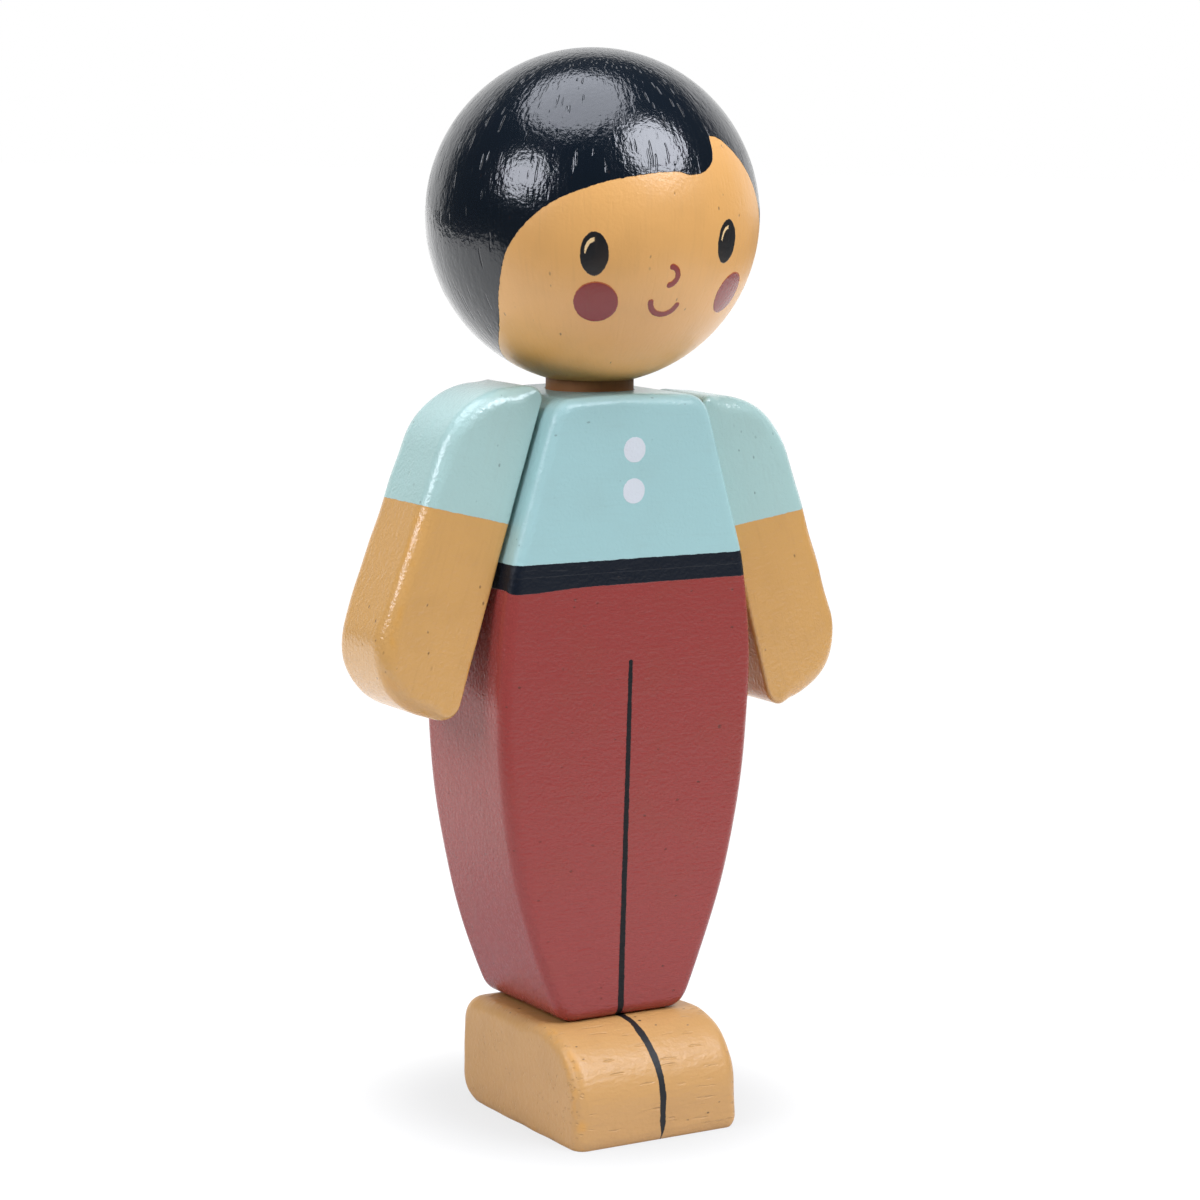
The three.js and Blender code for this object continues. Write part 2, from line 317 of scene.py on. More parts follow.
def bore(piece, mouth, direction, diameter, depth):
    """Drills a blind hole into a piece: mouth is on its surface and direction points into the wood."""
    direction = Vector(direction).normalized()
    length = depth + DRILL_OVERRUN
    mesh = bpy.data.meshes.new("drill")
    work = bmesh.new()
    bmesh.ops.create_cone(work, cap_ends=True, segments=DOWEL_SEGMENTS // 2, radius1=diameter / 2 * MM,
                          radius2=diameter / 2 * MM, depth=length * MM)
    work.to_mesh(mesh)
    work.free()
    drill = bpy.data.objects.new("drill", mesh)
    bpy.context.scene.collection.objects.link(drill)
    centre = Vector(mouth) + direction * (length / 2 - DRILL_OVERRUN)
    turn = direction.to_track_quat("Z", "Y").to_matrix().to_4x4()
    drill.matrix_world = Matrix.Translation(centre * MM) @ turn
    cut = piece.modifiers.new("bore", "BOOLEAN")
    cut.object = drill
    cut.operation = "DIFFERENCE"
    cut.solver = "EXACT"
    bpy.context.view_layer.update()
    view = bpy.context.evaluated_depsgraph_get()
    drilled = bpy.data.meshes.new_from_object(piece.evaluated_get(view))
    piece.modifiers.clear()
    piece.data = drilled
    bpy.data.objects.remove(drill)
    finish_shading(drilled)


# The pieces

def body_outline(bottom):
    """The body from the front, anticlockwise from the middle of its lower edge."""
    shoulder = SHOULDER_WIDTH / 2
    waist = WAIST_WIDTH / 2
    hip = waist + HIP_BULGE
    ankle = ANKLE_WIDTH / 2
    hip_height = bottom + ANKLE_TO_HIP
    waist_height = hip_height + HIP_TO_WAIST
    top = waist_height + WAIST_TO_SHOULDER
    lean = math.atan2(waist - shoulder, WAIST_TO_SHOULDER)
    leg_radius = (ANKLE_TO_HIP ** 2 + (hip - ankle) ** 2) / (2 * (hip - ankle))
    hip_radius = (HIP_TO_WAIST ** 2 + HIP_BULGE ** 2) / (2 * HIP_BULGE)
    leg_angle = math.asin((ANKLE_TO_HIP - ANKLE_CORNER) / leg_radius)
    hip_angle = math.asin(HIP_TO_WAIST / hip_radius)

    leg = arc((hip - leg_radius, hip_height), leg_radius, -leg_angle, 0, steps=60)
    hip_run = arc((hip - hip_radius, hip_height), hip_radius, 0, hip_angle)
    ankle_bend = bend((ankle - ANKLE_CORNER, bottom), (ankle, bottom), leg[0])
    below = (SHOULDER_CORNER * math.sin(lean), -SHOULDER_CORNER * math.cos(lean))
    below_shoulder = (shoulder + below[0], top + below[1])
    beside_shoulder = (shoulder - SHOULDER_CORNER, top)
    shoulder_bend = bend(below_shoulder, (shoulder, top), beside_shoulder)
    crown = bend(beside_shoulder, (0, top + 2 * TOP_CROWN), (-beside_shoulder[0], top))
    left = np.concatenate([ankle_bend, leg, hip_run, shoulder_bend])
    right = left[::-1] * (-1, 1)
    return eased(even(np.concatenate([left, crown, right]), OUTLINE_STEP), reach=1)


def body_board():
    low, high = box_mm("body")
    outline = body_outline(low.z)
    radius = BODY_EDGE * (1 + BODY_UNEVENNESS * wander(len(outline), seed=3))
    piece = soft_board("body_board", outline, (high.y - low.y) / 2, radius)

    neck_low, neck_high = box_mm("neck_dowel")
    neck_centre = (neck_low + neck_high) / 2
    neck_bore = neck_high.x - neck_low.x + 2 * NECK_BORE_GAP
    bore(piece, (neck_centre.x, neck_centre.y, high.z), (0, 0, -1), neck_bore, NECK_IN_BODY)
    for joint in ("right_arm_swing", "left_arm_swing"):
        peg, out = peg_of(joint)
        bore(piece, peg, -out, PEG_BORE, PEG_IN_BODY)
    for side in (-1, 1):
        bore(piece, (side * FOOT_DOWEL_SPACING / 2, 0, low.z), (0, 0, 1), FOOT_BORE, FOOT_DOWEL_IN_BODY)
    return piece


def peg_of(joint_name):
    """Where a shoulder peg leaves the body, in millimetres, and the direction out along it."""
    joint = joint_named(joint_name)
    place = Vector(joint["pos_m"]) / MM
    axis = Vector(joint["axis"])
    return place, axis if axis.z > 0 else -axis


def feet_block():
    low, high = box_mm("feet")
    sole = low.z
    top = high.z
    heel = -high.y
    toe = -low.y
    outline = rounded([
        ((heel, sole - SOLE_SANDING), HEEL_BOTTOM_RADIUS),
        ((toe, sole - SOLE_SANDING), TOE_BOTTOM_RADIUS),
        ((toe, top), TOE_TOP_RADIUS),
        ((heel, top), HEEL_TOP_RADIUS),
    ])
    outline = even(outline, OUTLINE_STEP)
    radius = FEET_EDGE * (1 + FEET_UNEVENNESS * wander(len(outline), seed=5))
    toes_forward = np.array([[0, 1, 0], [-1, 0, 0], [0, 0, 1]])
    piece = soft_board("feet_block", outline, (high.x - low.x) / 2, radius, toes_forward)
    sand_flat(piece, sole)
    for side in (-1, 1):
        bore(piece, (side * FOOT_DOWEL_SPACING / 2, 0, top), (0, 0, -1), FOOT_BORE, FOOT_DOWEL_IN_FEET)
    return piece


def arm_bar(side_name, side):
    """An arm drawn round its peg: X lies along the peg and Z up along the body's slanted side."""
    low, high = box_mm("arm_" + side_name)
    corners = [
        ((0, ARM_ABOVE_PEG), ARM_ARMPIT_RADIUS),
        ((0, -ARM_BELOW_PEG), ARM_PALM_RADIUS),
        ((ARM_HAND_WIDTH, -ARM_BELOW_PEG), ARM_HAND_RADIUS),
        ((ARM_SHOULDER_WIDTH, ARM_ABOVE_PEG - ARM_SHOULDER_FALL), ARM_SHOULDER_RADIUS),
    ]
    outline = even(rounded(corners), OUTLINE_STEP)
    outer_share = smooth_step(outline[:, 0], *ARM_EDGE_CHANGE)
    radius = ARM_INNER_EDGE + (ARM_OUTER_EDGE - ARM_INNER_EDGE) * outer_share
    radius = radius * (1 + ARM_UNEVENNESS * wander(len(outline), seed=7 + side))
    outline = (outline + (ARM_GAP, ARM_RISE[side_name])) * (side, 1)
    if side < 0:
        outline = outline[::-1]
        radius = radius[::-1]
    piece = soft_board(f"arm_{side_name}_bar", outline, (high.y - low.y) / 2, radius)
    bore(piece, (side * ARM_GAP, 0, 0), (side, 0, 0), PEG_BORE, PEG_IN_ARM)

    peg, out = peg_of(side_name + "_arm_swing")
    along = out * side
    up = along.cross((0, 1, 0))
    axes = Matrix((along, (0, 1, 0), up)).transposed().to_4x4()
    piece.matrix_world = Matrix.Translation(peg * MM) @ axes
    return piece


def head_ball():
    """The head ball with its neck bore, drawn round its own centre."""
    low, high = box_mm("head")
    neck_low, neck_high = box_mm("neck_dowel")
    radius = (high.x - low.x) / 2
    bore_radius = (neck_high.x - neck_low.x) / 2 + NECK_BORE_GAP
    mouth = math.degrees(math.acos(bore_radius / radius))
    rows = np.radians(np.linspace(-mouth, 90, round((90 + mouth) / HEAD_ROW_STEP)))
    profile = [(0, NECK_IN_HEAD - radius), (bore_radius, NECK_IN_HEAD - radius)]
    profile += [(radius * math.cos(a), radius * math.sin(a)) for a in rows[:-1]]
    profile.append((0, radius))
    piece = turned("head_ball", profile, HEAD_SEGMENTS)
    centre = Vector(((low.x + high.x) / 2, (low.y + high.y) / 2, high.z - radius))
    piece.location = centre * MM
    return piece, radius


def neck_post():
    low, high = box_mm("neck_dowel")
    radius = (high.x - low.x) / 2
    length = high.z - low.z
    profile = [
        (0, 0),
        (radius - NECK_CHAMFER, 0),
        (radius, NECK_CHAMFER),
        (radius, length - NECK_CHAMFER),
        (radius - NECK_CHAMFER, length),
        (0, length),
    ]
    piece = turned("neck_post", profile, DOWEL_SEGMENTS)
    piece.location = Vector(((low.x + high.x) / 2, (low.y + high.y) / 2, low.z)) * MM
    return piece


# Shader formulas

class Field:
    """A number or vector that varies over a surface. It can be written in plain formulas."""

    def __init__(self, shader, socket):
        self.shader = shader
        self.socket = socket

    def __add__(self, other):
        return self.shader.math("ADD", self, other)

    def __radd__(self, other):
        return self.shader.math("ADD", other, self)

    def __sub__(self, other):
        return self.shader.math("SUBTRACT", self, other)

    def __rsub__(self, other):
        return self.shader.math("SUBTRACT", other, self)

    def __mul__(self, other):
        return self.shader.math("MULTIPLY", self, other)

    def __rmul__(self, other):
        return self.shader.math("MULTIPLY", other, self)

    def __rtruediv__(self, other):
        return self.shader.math("DIVIDE", other, self)

    def __truediv__(self, other):
        return self.shader.math("DIVIDE", self, other)

    def __abs__(self):
        return self.shader.math("ABSOLUTE", self)


class Shader:
    """A tree of shader nodes that are written as formulas."""

    def __init__(self, owner):
        owner.use_nodes = True
        self.tree = owner.node_tree

    def node(self, kind, values=None, **settings):
        made = self.tree.nodes.new(kind)
        for name, value in settings.items():
            setattr(made, name, value)
        for name, value in (values or {}).items():
            self.feed(made.inputs[name], value)
        return made

    def feed(self, socket, value):
        if isinstance(value, Field):
            self.tree.links.new(value.socket, socket)
        else:
            socket.default_value = value

    def given(self, kind, output):
        """A value that Blender hands to the shader, such as a coordinate."""
        return Field(self, self.node(kind).outputs[output])

    def math(self, operation, *values):
        made = self.node("ShaderNodeMath", dict(enumerate(values)), operation=operation)
        return Field(self, made.outputs[0])

    def smallest(self, first, second):
        return self.math("MINIMUM", first, second)

    def largest(self, first, second):
        return self.math("MAXIMUM", first, second)

    def length(self, across, up):
        return self.math("SQRT", across * across + up * up)

    def parts(self, vector):
        made = self.node("ShaderNodeSeparateXYZ", {0: vector})
        return [Field(self, output) for output in made.outputs]

    def scaled(self, vector, factors):
        made = self.node("ShaderNodeVectorMath", {0: vector, 1: factors}, operation="MULTIPLY")
        return Field(self, made.outputs[0])

    def moved(self, vector, step):
        made = self.node("ShaderNodeVectorMath", {0: vector, 1: step}, operation="ADD")
        return Field(self, made.outputs[0])

    def along(self, vector, direction):
        values = {0: vector, 1: tuple(direction)}
        made = self.node("ShaderNodeVectorMath", values, operation="DOT_PRODUCT")
        return Field(self, made.outputs["Value"])

    def stored(self, name):
        made = self.node("ShaderNodeAttribute", attribute_name=name)
        return Field(self, made.outputs["Fac"])

    def noise(self, at, scale, detail=2.0):
        made = self.node("ShaderNodeTexNoise", {"Vector": at, "Scale": scale, "Detail": detail})
        return Field(self, made.outputs["Fac"])

    def noise_vector(self, at, scale):
        made = self.node("ShaderNodeTexNoise", {"Vector": at, "Scale": scale})
        return Field(self, made.outputs["Color"])

    def cells(self, at, scale):
        """Distance to the nearest of many scattered points, and a chance number for each point."""
        made = self.node("ShaderNodeTexVoronoi", {"Vector": at, "Scale": scale})
        chances = self.node("ShaderNodeSeparateColor", {0: Field(self, made.outputs["Color"])})
        return Field(self, made.outputs["Distance"]), Field(self, chances.outputs[0])

    def fade(self, value, start, end):
        """0 up to start and 1 from end on, with a soft step between. End may lie below start."""
        low, high = (start, end) if start < end else (end, start)
        values = {"Value": value, "From Min": low, "From Max": high}
        values["To Min"], values["To Max"] = (0.0, 1.0) if start < end else (1.0, 0.0)
        made = self.node("ShaderNodeMapRange", values, interpolation_type="SMOOTHSTEP")
        return Field(self, made.outputs["Result"])

    def between(self, share, first, second):
        return share * (second - first) + first

    def blend(self, share, first, second):
        """The same for colours."""
        made = self.node("ShaderNodeMix", data_type="RGBA")
        colours = [socket for socket in made.inputs if socket.type == "RGBA"]
        self.feed(made.inputs[0], share)
        self.feed(colours[0], first)
        self.feed(colours[1], second)
        return Field(self, next(socket for socket in made.outputs if socket.type == "RGBA"))


class Finish(Shader):
    """A material. Places are in millimetres in the piece's own axes."""

    def __init__(self, name):
        self.material = bpy.data.materials.new(name)
        super().__init__(self.material)
        self.surface = self.tree.nodes["Principled BSDF"]
        self.place = self.scaled(self.given("ShaderNodeTexCoord", "Object"), (1 / MM, 1 / MM, 1 / MM))
        self.x, self.y, self.z = self.parts(self.place)
        self.wood = self.place

    def fan_grain(self, radius, crown):
        """Leads a ball's grain up its sides to the crown, where it is eased within this distance."""
        spread = radius / self.math("SQRT", self.x * self.x + self.y * self.y + crown * crown)
        made = self.node("ShaderNodeCombineXYZ", {0: self.x * spread, 1: self.y * spread, 2: self.z})
        self.wood = Field(self, made.outputs[0])

    def stretched(self, grain, share):
        """The place with its scale along the grain axis reduced, for marks that are long that way."""
        factors = [1.0, 1.0, 1.0]
        factors[grain] = share
        return self.scaled(self.wood, factors)

    def grained(self, grain, share, waves, detail=2.0):
        """Noise that is long along the grain axis."""
        return self.noise(self.stretched(grain, share), waves, detail)

    def relief(self, height):
        """Bumps the surface by a height in millimetres."""
        made = self.node("ShaderNodeBump", {"Height": height, "Distance": MM, "Strength": 1.0})
        self.feed(self.surface.inputs["Normal"], Field(self, made.outputs["Normal"]))


# Paints

# roughness is the shader's own, pores is how far the wood's pores sink in, in millimetres, and streaks and
# specks are how strongly fibres and open pores darken the colour.
Paint = namedtuple("Paint", "colour roughness pores streaks specks")


def srgb(red, green, blue):
    """A linear colour from the usual 0 to 255 values."""
    def linear(value):
        share = value / 255
        return share / 12.92 if share <= 0.04045 else ((share + 0.055) / 1.055) ** 2.4
    return (linear(red), linear(green), linear(blue), 1.0)


SKIN = Paint(srgb(206, 157, 92), roughness=0.24, pores=0.012, streaks=0.06, specks=0.6)
SKIN_THIN = SKIN._replace(colour=srgb(214, 152, 60))
# The face's skin paint is lighter than the arms', partly as painted fill light that the lamps leave out of
# the face
FACE_SKIN_WITH_PAINTED_FILL = SKIN._replace(colour=srgb(228, 171, 100), roughness=0.34)
FOOT = SKIN._replace(colour=srgb(198, 151, 92), roughness=0.4, pores=0.075, specks=0.9)
BLUSH = SKIN._replace(colour=srgb(131, 20, 13), specks=0.2)
BLUSH_THIN = SKIN._replace(colour=srgb(190, 96, 48))
EYE_BLACK = SKIN._replace(colour=srgb(8, 10, 14), roughness=0.4, specks=0.0)
GLINT = SKIN._replace(colour=srgb(240, 205, 150), streaks=0.0, specks=0.0)
HAIR = Paint(srgb(6, 17, 27), roughness=0.14, pores=0.045, streaks=0.0, specks=0.2)
MINT = Paint(srgb(162, 199, 198), roughness=0.22, pores=0.005, streaks=0.03, specks=0.35)
SLEEVE = MINT._replace(colour=srgb(168, 199, 193), pores=0.01, specks=0.5)
BUTTON = MINT._replace(colour=srgb(212, 216, 220), specks=0.0)
BRICK = Paint(srgb(147, 62, 58), roughness=0.27, pores=0.012, streaks=0.06, specks=0.6)
BELT = Paint(srgb(5, 15, 28), roughness=0.42, pores=0.02, streaks=0.0, specks=0.2)
LINE_BLACK = BELT._replace(colour=srgb(8, 10, 14), roughness=0.55)
BARE = Paint(srgb(164, 106, 58), roughness=0.6, pores=0.03, streaks=0.3, specks=0.8)
PORE_COLOUR = srgb(60, 40, 26)
FIBRE_COLOUR = srgb(120, 84, 50)

PAINT_FILM = 0.02  # how far a coat of paint stands proud
PAINT_EDGE = 0.035  # half the width over which a painted edge softens

# How a hand-painted edge strays: waves per millimetre, and how far they reach
SLOW_STRAY = (0.8, 0.16)
QUICK_STRAY = (5.0, 0.1)

# The wood's pores: distance between them, radius, length along the grain, and how many of them there are
FILLED_PORES = {"spacing": 0.5, "radius": 0.13, "length": 2.0, "share": 0.45}
OPENED_PORES = {"spacing": 0.8, "radius": 0.12, "length": 0.4, "share": 0.09}
OPENED_DEPTH = 0.05
PORE_RIM = (1.3, 0.5)  # a pore deepens between these shares of its radius
PORE_DRIFT = (0.35, 0.6)  # their rows wander in waves like these, per millimetre and in millimetres
CHANCE_STEP = 0.05

# Unevenness under the paint: waves along the grain as a share of those across it, and waves per millimetre
FIBRES = (0.06, 2.6)
FIBRE_DETAIL = 3.0
RIPPLES = (0.4, 0.9)
PEEL = (0.5, 1.7)
SWELL_WAVES = 0.2
GRIT_WAVES = 2.6
FIBRE_HEIGHT = 0.002
RIPPLE_HEIGHT = 0.03
SWELL_HEIGHT = 0.05
GRIT = 0.03  # the height of the fine grains in the paint
ARM_GRIT = 0.065
BODY_GRIT = 0.06
STREAKS_FROM = (0.5, 0.8)  # fibres darken the colour where they rise between these
STAINS_FROM = (0.45, 0.75)  # and so does the broad swell
ROUGHNESS_CHANGE = 0.1
MIDDLE = 0.5  # of a noise between 0 and 1


class Look:
    """What a surface shows so far. Each coat covers what lies under it where its mask is 1."""

    def __init__(self, finish, ground):
        self.finish = finish
        self.colour, self.roughness, self.pores, self.streaks, self.specks = ground
        self.height = 0.0

    def coat(self, mask, paint):
        finish = self.finish
        self.colour = finish.blend(mask, self.colour, paint.colour)
        self.roughness = finish.between(mask, self.roughness, paint.roughness)
        self.pores = finish.between(mask, self.pores, paint.pores)
        self.streaks = finish.between(mask, self.streaks, paint.streaks)
        self.specks = finish.between(mask, self.specks, paint.specks)
        self.height = mask * PAINT_FILM + self.height

    def tint(self, mask, colour):
        self.colour = self.finish.blend(mask, self.colour, colour)


def wood_pores(finish, grain, spacing, radius, length, share):
    """Little tubes in the wood, long along the grain axis: 1 inside one and 0 between them."""
    waves, reach = PORE_DRIFT
    drift = finish.scaled(finish.noise_vector(finish.place, waves), (reach, reach, reach))
    at = finish.moved(finish.stretched(grain, 2 * radius / length), drift)
    distance, chance = finish.cells(at, 1 / spacing)
    size = radius / spacing
    hole = finish.fade(distance, size * PORE_RIM[0], size * PORE_RIM[1])
    return hole * finish.fade(chance, share + CHANCE_STEP, share - CHANCE_STEP)


def ragged(finish, distance):
    """The mask of a hand-painted edge, 1 where this distance in millimetres is above 0."""
    for waves, reach in (SLOW_STRAY, QUICK_STRAY):
        distance = distance + (finish.noise(finish.place, waves) - MIDDLE) * reach
    return finish.fade(distance, -PAINT_EDGE, PAINT_EDGE)


def settle(look, grain, grit=GRIT):
    """Puts the wood's own marks under and through the paint, and hands the look to the shader.

    grit is how high, in millimetres, the fine grains of the paint stand.
    """
    finish = look.finish
    filled = wood_pores(finish, grain, **FILLED_PORES)
    opened = wood_pores(finish, grain, **OPENED_PORES)
    fibres = finish.grained(grain, *FIBRES, FIBRE_DETAIL)
    ripples = finish.grained(grain, *RIPPLES)
    peel = finish.grained(grain, *PEEL)
    swell = finish.noise(finish.place, SWELL_WAVES)
    grains = finish.noise(finish.place, GRIT_WAVES)

    look.tint(finish.fade(fibres, *STREAKS_FROM) * look.streaks, FIBRE_COLOUR)
    look.tint(finish.fade(swell, *STAINS_FROM) * look.streaks, FIBRE_COLOUR)
    look.tint(opened * look.specks, PORE_COLOUR)
    relief = look.height - filled * look.pores - opened * look.specks * OPENED_DEPTH + peel * look.pores
    relief = relief + fibres * FIBRE_HEIGHT + grains * grit
    finish.relief(relief + ripples * RIPPLE_HEIGHT + swell * SWELL_HEIGHT)
    finish.feed(finish.surface.inputs["Base Color"], look.colour)
    roughness = look.roughness + (fibres - MIDDLE) * ROUGHNESS_CHANGE
    finish.feed(finish.surface.inputs["Roughness"], roughness)
    return finish.material


# Paint of the head

# Places on the face are degrees from straight ahead towards the figure's left and degrees above the middle
EYES = ((-31.0, -10.0), (20.4, -6.2))
EYE_HALF_WIDTH = 1.48
EYE_HALF_HEIGHT = 2.3
GLINT_RING = 0.64  # of the eye's size
GLINT_HALF_WIDTH = 0.12
GLINT_ANGLE = 132
GLINT_ENDS = (0.68, 0.8)  # cosines of the angle from its middle, between which it fades in
GLINT_STRAY = (4.0, 0.5)
CHEEKS = ((-30.1, -27.3), (30.0, -24.8))
CHEEK_RADIUS = 2.3
CHEEK_THIN_RIM = 0.14  # the thin paint that shows above the full one
NOSE = (-3.9, -17.6)
NOSE_RADIUS = 1.05
NOSE_TILT = -90
MOUTH = (-3.2, -26.6)
MOUTH_RADIUS = 1.66
MOUTH_TILT = 173
STROKE_HALF_ANGLE = 76
STROKE_HALF_WIDTH = 0.29
STROKE_THIN_RIM = 0.1

HEAD_SHEEN = 0.68  # the head's lacquer reflects a little more than the shader's own 0.5
CROWN_EASING = 6.0

# The hairline from the figure's right cheek to the parting, and on to its left cheek
FRINGE = (
    (-118, -70), (-100, -57.8), (-76, -40), (-67, -22.5), (-60.4, -7.8), (-47, 5.6), (-27, 13.8),
    (-4, 17.2), (4, 16), (10.5, 17.2), (15.5, 20.8), (17.7, 26), (18.3, 30),
)
TEMPLE = (
    (18.3, 30), (25.5, 28.1), (37.8, 18), (47, 6), (58, -9.5), (67, -24), (76, -40), (100, -57.8),
    (118, -70),
)
BELOW_THE_BALL = -90  # the back of the head is all hair


def on_ball(azimuth, elevation):
    """The direction on the head at these degrees."""
    a = np.radians(azimuth)
    e = np.radians(elevation)
    return np.stack([np.sin(a) * np.cos(e), -np.cos(a) * np.cos(e), np.sin(e)], axis=-1)


def smooth_run(points, steps=40):
    """A smooth curve through points, each stretch steered by its neighbours."""
    points = np.array(points, float)
    ends = np.concatenate([points[:1] * 2 - points[1:2], points, points[-1:] * 2 - points[-2:-1]])
    t = np.linspace(0, 1, steps, endpoint=False)[:, None]
    runs = []
    for before, start, end, after in zip(ends, ends[1:], ends[2:], ends[3:]):
        leave = (end - before) / 2
        arrive = (after - start) / 2
        rise = t * t * (3 - 2 * t)
        runs.append(start + (end - start) * rise + leave * t * (1 - t) ** 2 - arrive * t * t * (1 - t))
    return np.concatenate(runs + [points[-1:]])


def store_hairline(piece, radius):
    """Stores each point's distance to the hairline in millimetres, above 0 in the hair."""
    line = np.concatenate([smooth_run(FRINGE), smooth_run(TEMPLE)])
    tree = KDTree(len(line))
    for i, place in enumerate(on_ball(line[:, 0], line[:, 1]) * radius):
        tree.insert(place, i)
    tree.balance()
    points = np.zeros(len(piece.data.vertices) * 3, np.float32)
    piece.data.vertices.foreach_get("co", points)
    points = points.reshape(-1, 3) / MM
    azimuth = np.degrees(np.arctan2(points[:, 0], -points[:, 1]))
    elevation = np.degrees(np.arctan2(points[:, 2], np.hypot(points[:, 0], points[:, 1])))
    edge = np.interp(azimuth, line[:, 0], line[:, 1], left=BELOW_THE_BALL, right=BELOW_THE_BALL)
    away = np.array([tree.find(p)[2] for p in points])
    hair = np.where(elevation > edge, away, -away)
    piece.data.attributes.new("hair", "FLOAT", "POINT").data.foreach_set("value", np.float32(hair))


def on_face(finish, place, tilt=0.0):
    """Millimetres across and up from a mark's centre, turned anticlockwise by tilt, and its side's mask."""
    azimuth = math.radians(place[0])
    out = on_ball(*place)
    right = np.array([math.cos(azimuth), math.sin(azimuth), 0])
    up = np.cross(out, right)
    turn = math.radians(tilt)
    across = right * math.cos(turn) + up * math.sin(turn)
    above = up * math.cos(turn) - right * math.sin(turn)
    near_side = finish.fade(finish.along(finish.place, out), 0.0, 1.0)
    return finish.along(finish.place, across), finish.along(finish.place, above), near_side


def inside_stroke(finish, across, above, radius):
    """How far inside a brush stroke a place lies. The stroke is an arc with its middle above the centre."""
    side = abs(across)
    sine = math.sin(math.radians(STROKE_HALF_ANGLE))
    cosine = math.cos(math.radians(STROKE_HALF_ANGLE))
    past_end = finish.math("GREATER_THAN", side * cosine - above * sine, 0.0)
    to_end = finish.length(side - radius * sine, above - radius * cosine)
    to_arc = abs(finish.length(across, above) - radius)
    return STROKE_HALF_WIDTH - finish.between(past_end, to_arc, to_end)


def paint_cheek(look, place):
    finish = look.finish
    across, above, near_side = on_face(finish, place)
    for rise, paint in ((CHEEK_THIN_RIM, BLUSH_THIN), (0.0, BLUSH)):
        inside = CHEEK_RADIUS - finish.length(across, above - rise)
        look.coat(ragged(finish, inside) * near_side, paint)


def paint_stroke(look, place, radius, tilt):
    finish = look.finish
    across, above, near_side = on_face(finish, place, tilt)
    turn = math.radians(tilt)
    for rise, paint in ((STROKE_THIN_RIM, BLUSH_THIN), (0.0, BLUSH)):
        side = across - rise * math.sin(turn)
        inside = inside_stroke(finish, side, above - rise * math.cos(turn), radius)
        look.coat(ragged(finish, inside) * near_side, paint)


def paint_eye(look, place):
    finish = look.finish
    across, above, near_side = on_face(finish, place)
    size = finish.length(across / EYE_HALF_WIDTH, above / EYE_HALF_HEIGHT)
    look.coat(ragged(finish, (1.0 - size) * EYE_HALF_WIDTH) * near_side, EYE_BLACK)
    turn = math.radians(GLINT_ANGLE)
    sideways = across * (math.cos(turn) / EYE_HALF_WIDTH)
    towards = sideways + above * (math.sin(turn) / EYE_HALF_HEIGHT)
    waves, reach = GLINT_STRAY
    broken = (finish.noise(finish.place, waves) - MIDDLE) * reach
    ring = GLINT_HALF_WIDTH - abs(size - GLINT_RING) * EYE_HALF_WIDTH
    look.coat(ragged(finish, ring) * finish.fade(towards / size + broken, *GLINT_ENDS), GLINT)


def head_paint(radius):
    finish = Finish("head_paint")
    finish.fan_grain(radius, CROWN_EASING)
    look = Look(finish, FACE_SKIN_WITH_PAINTED_FILL)
    for place in CHEEKS:
        paint_cheek(look, place)
    paint_stroke(look, NOSE, NOSE_RADIUS, NOSE_TILT)
    paint_stroke(look, MOUTH, MOUTH_RADIUS, MOUTH_TILT)
    for place in EYES:
        paint_eye(look, place)
    look.coat(ragged(finish, finish.stored("hair")), HAIR)
    finish.surface.inputs["Specular IOR Level"].default_value = HEAD_SHEEN
    return settle(look, grain=2)


# Paint of the body, the arms and the feet

BELT_TOP = 62.0
BELT_BOTTOM = 59.3
BELT_DIP = 0.35  # the brush ran a little lower at the front edge of the figure's right side
BELT_DIP_ACROSS = (-5.0, -13.2)  # where the dip begins and where it is full
BELT_DIP_DEPTH = (-7.2, -8.2)
BUTTON_RADIUS = 1.35
BUTTON_HEIGHTS = (73.6, 69.2)
FLY_TOP = 51.1
FLY_DRIFT = 0.014  # sideways for each millimetre down
FLY_HALF_WIDTH = 0.26
FLY_WIDENING = 0.003
FRONT_DEPTH = -5.0  # marks of the front lie before this depth
FRONT_STEP = 1.0
BODY_SHEEN = 0.32  # the body's paint reflects less than the shader's own 0.5
ARM_SHEEN = 0.7  # and the arms' paint more

# Where the paint of edges is rubbed: waves per millimetre, between which heights, and how much
RUB_WAVES = 0.5
RUB_FROM = (0.5, 0.7)
RUB_STRENGTH = 0.5

# For each arm, the sleeve's end at the body and its rise for each millimetre outwards
CUFFS = {"right": (-6.2, -0.055), "left": (-8.0, -0.14)}

PARTING_HALF_WIDTH = 0.42
PARTING_SHIFT = 0.3  # to the figure's left on the lower part of the toe
PARTING_BEND = (2.0, 10.0)  # where it shifts, forward and down together
PARTING_END = 16.2  # measured the same way
PARTING_TAPER = 2.5
PARTING_WAVES = 0.35


def front_mask(finish):
    return finish.fade(finish.y, FRONT_DEPTH + FRONT_STEP, FRONT_DEPTH - FRONT_STEP)


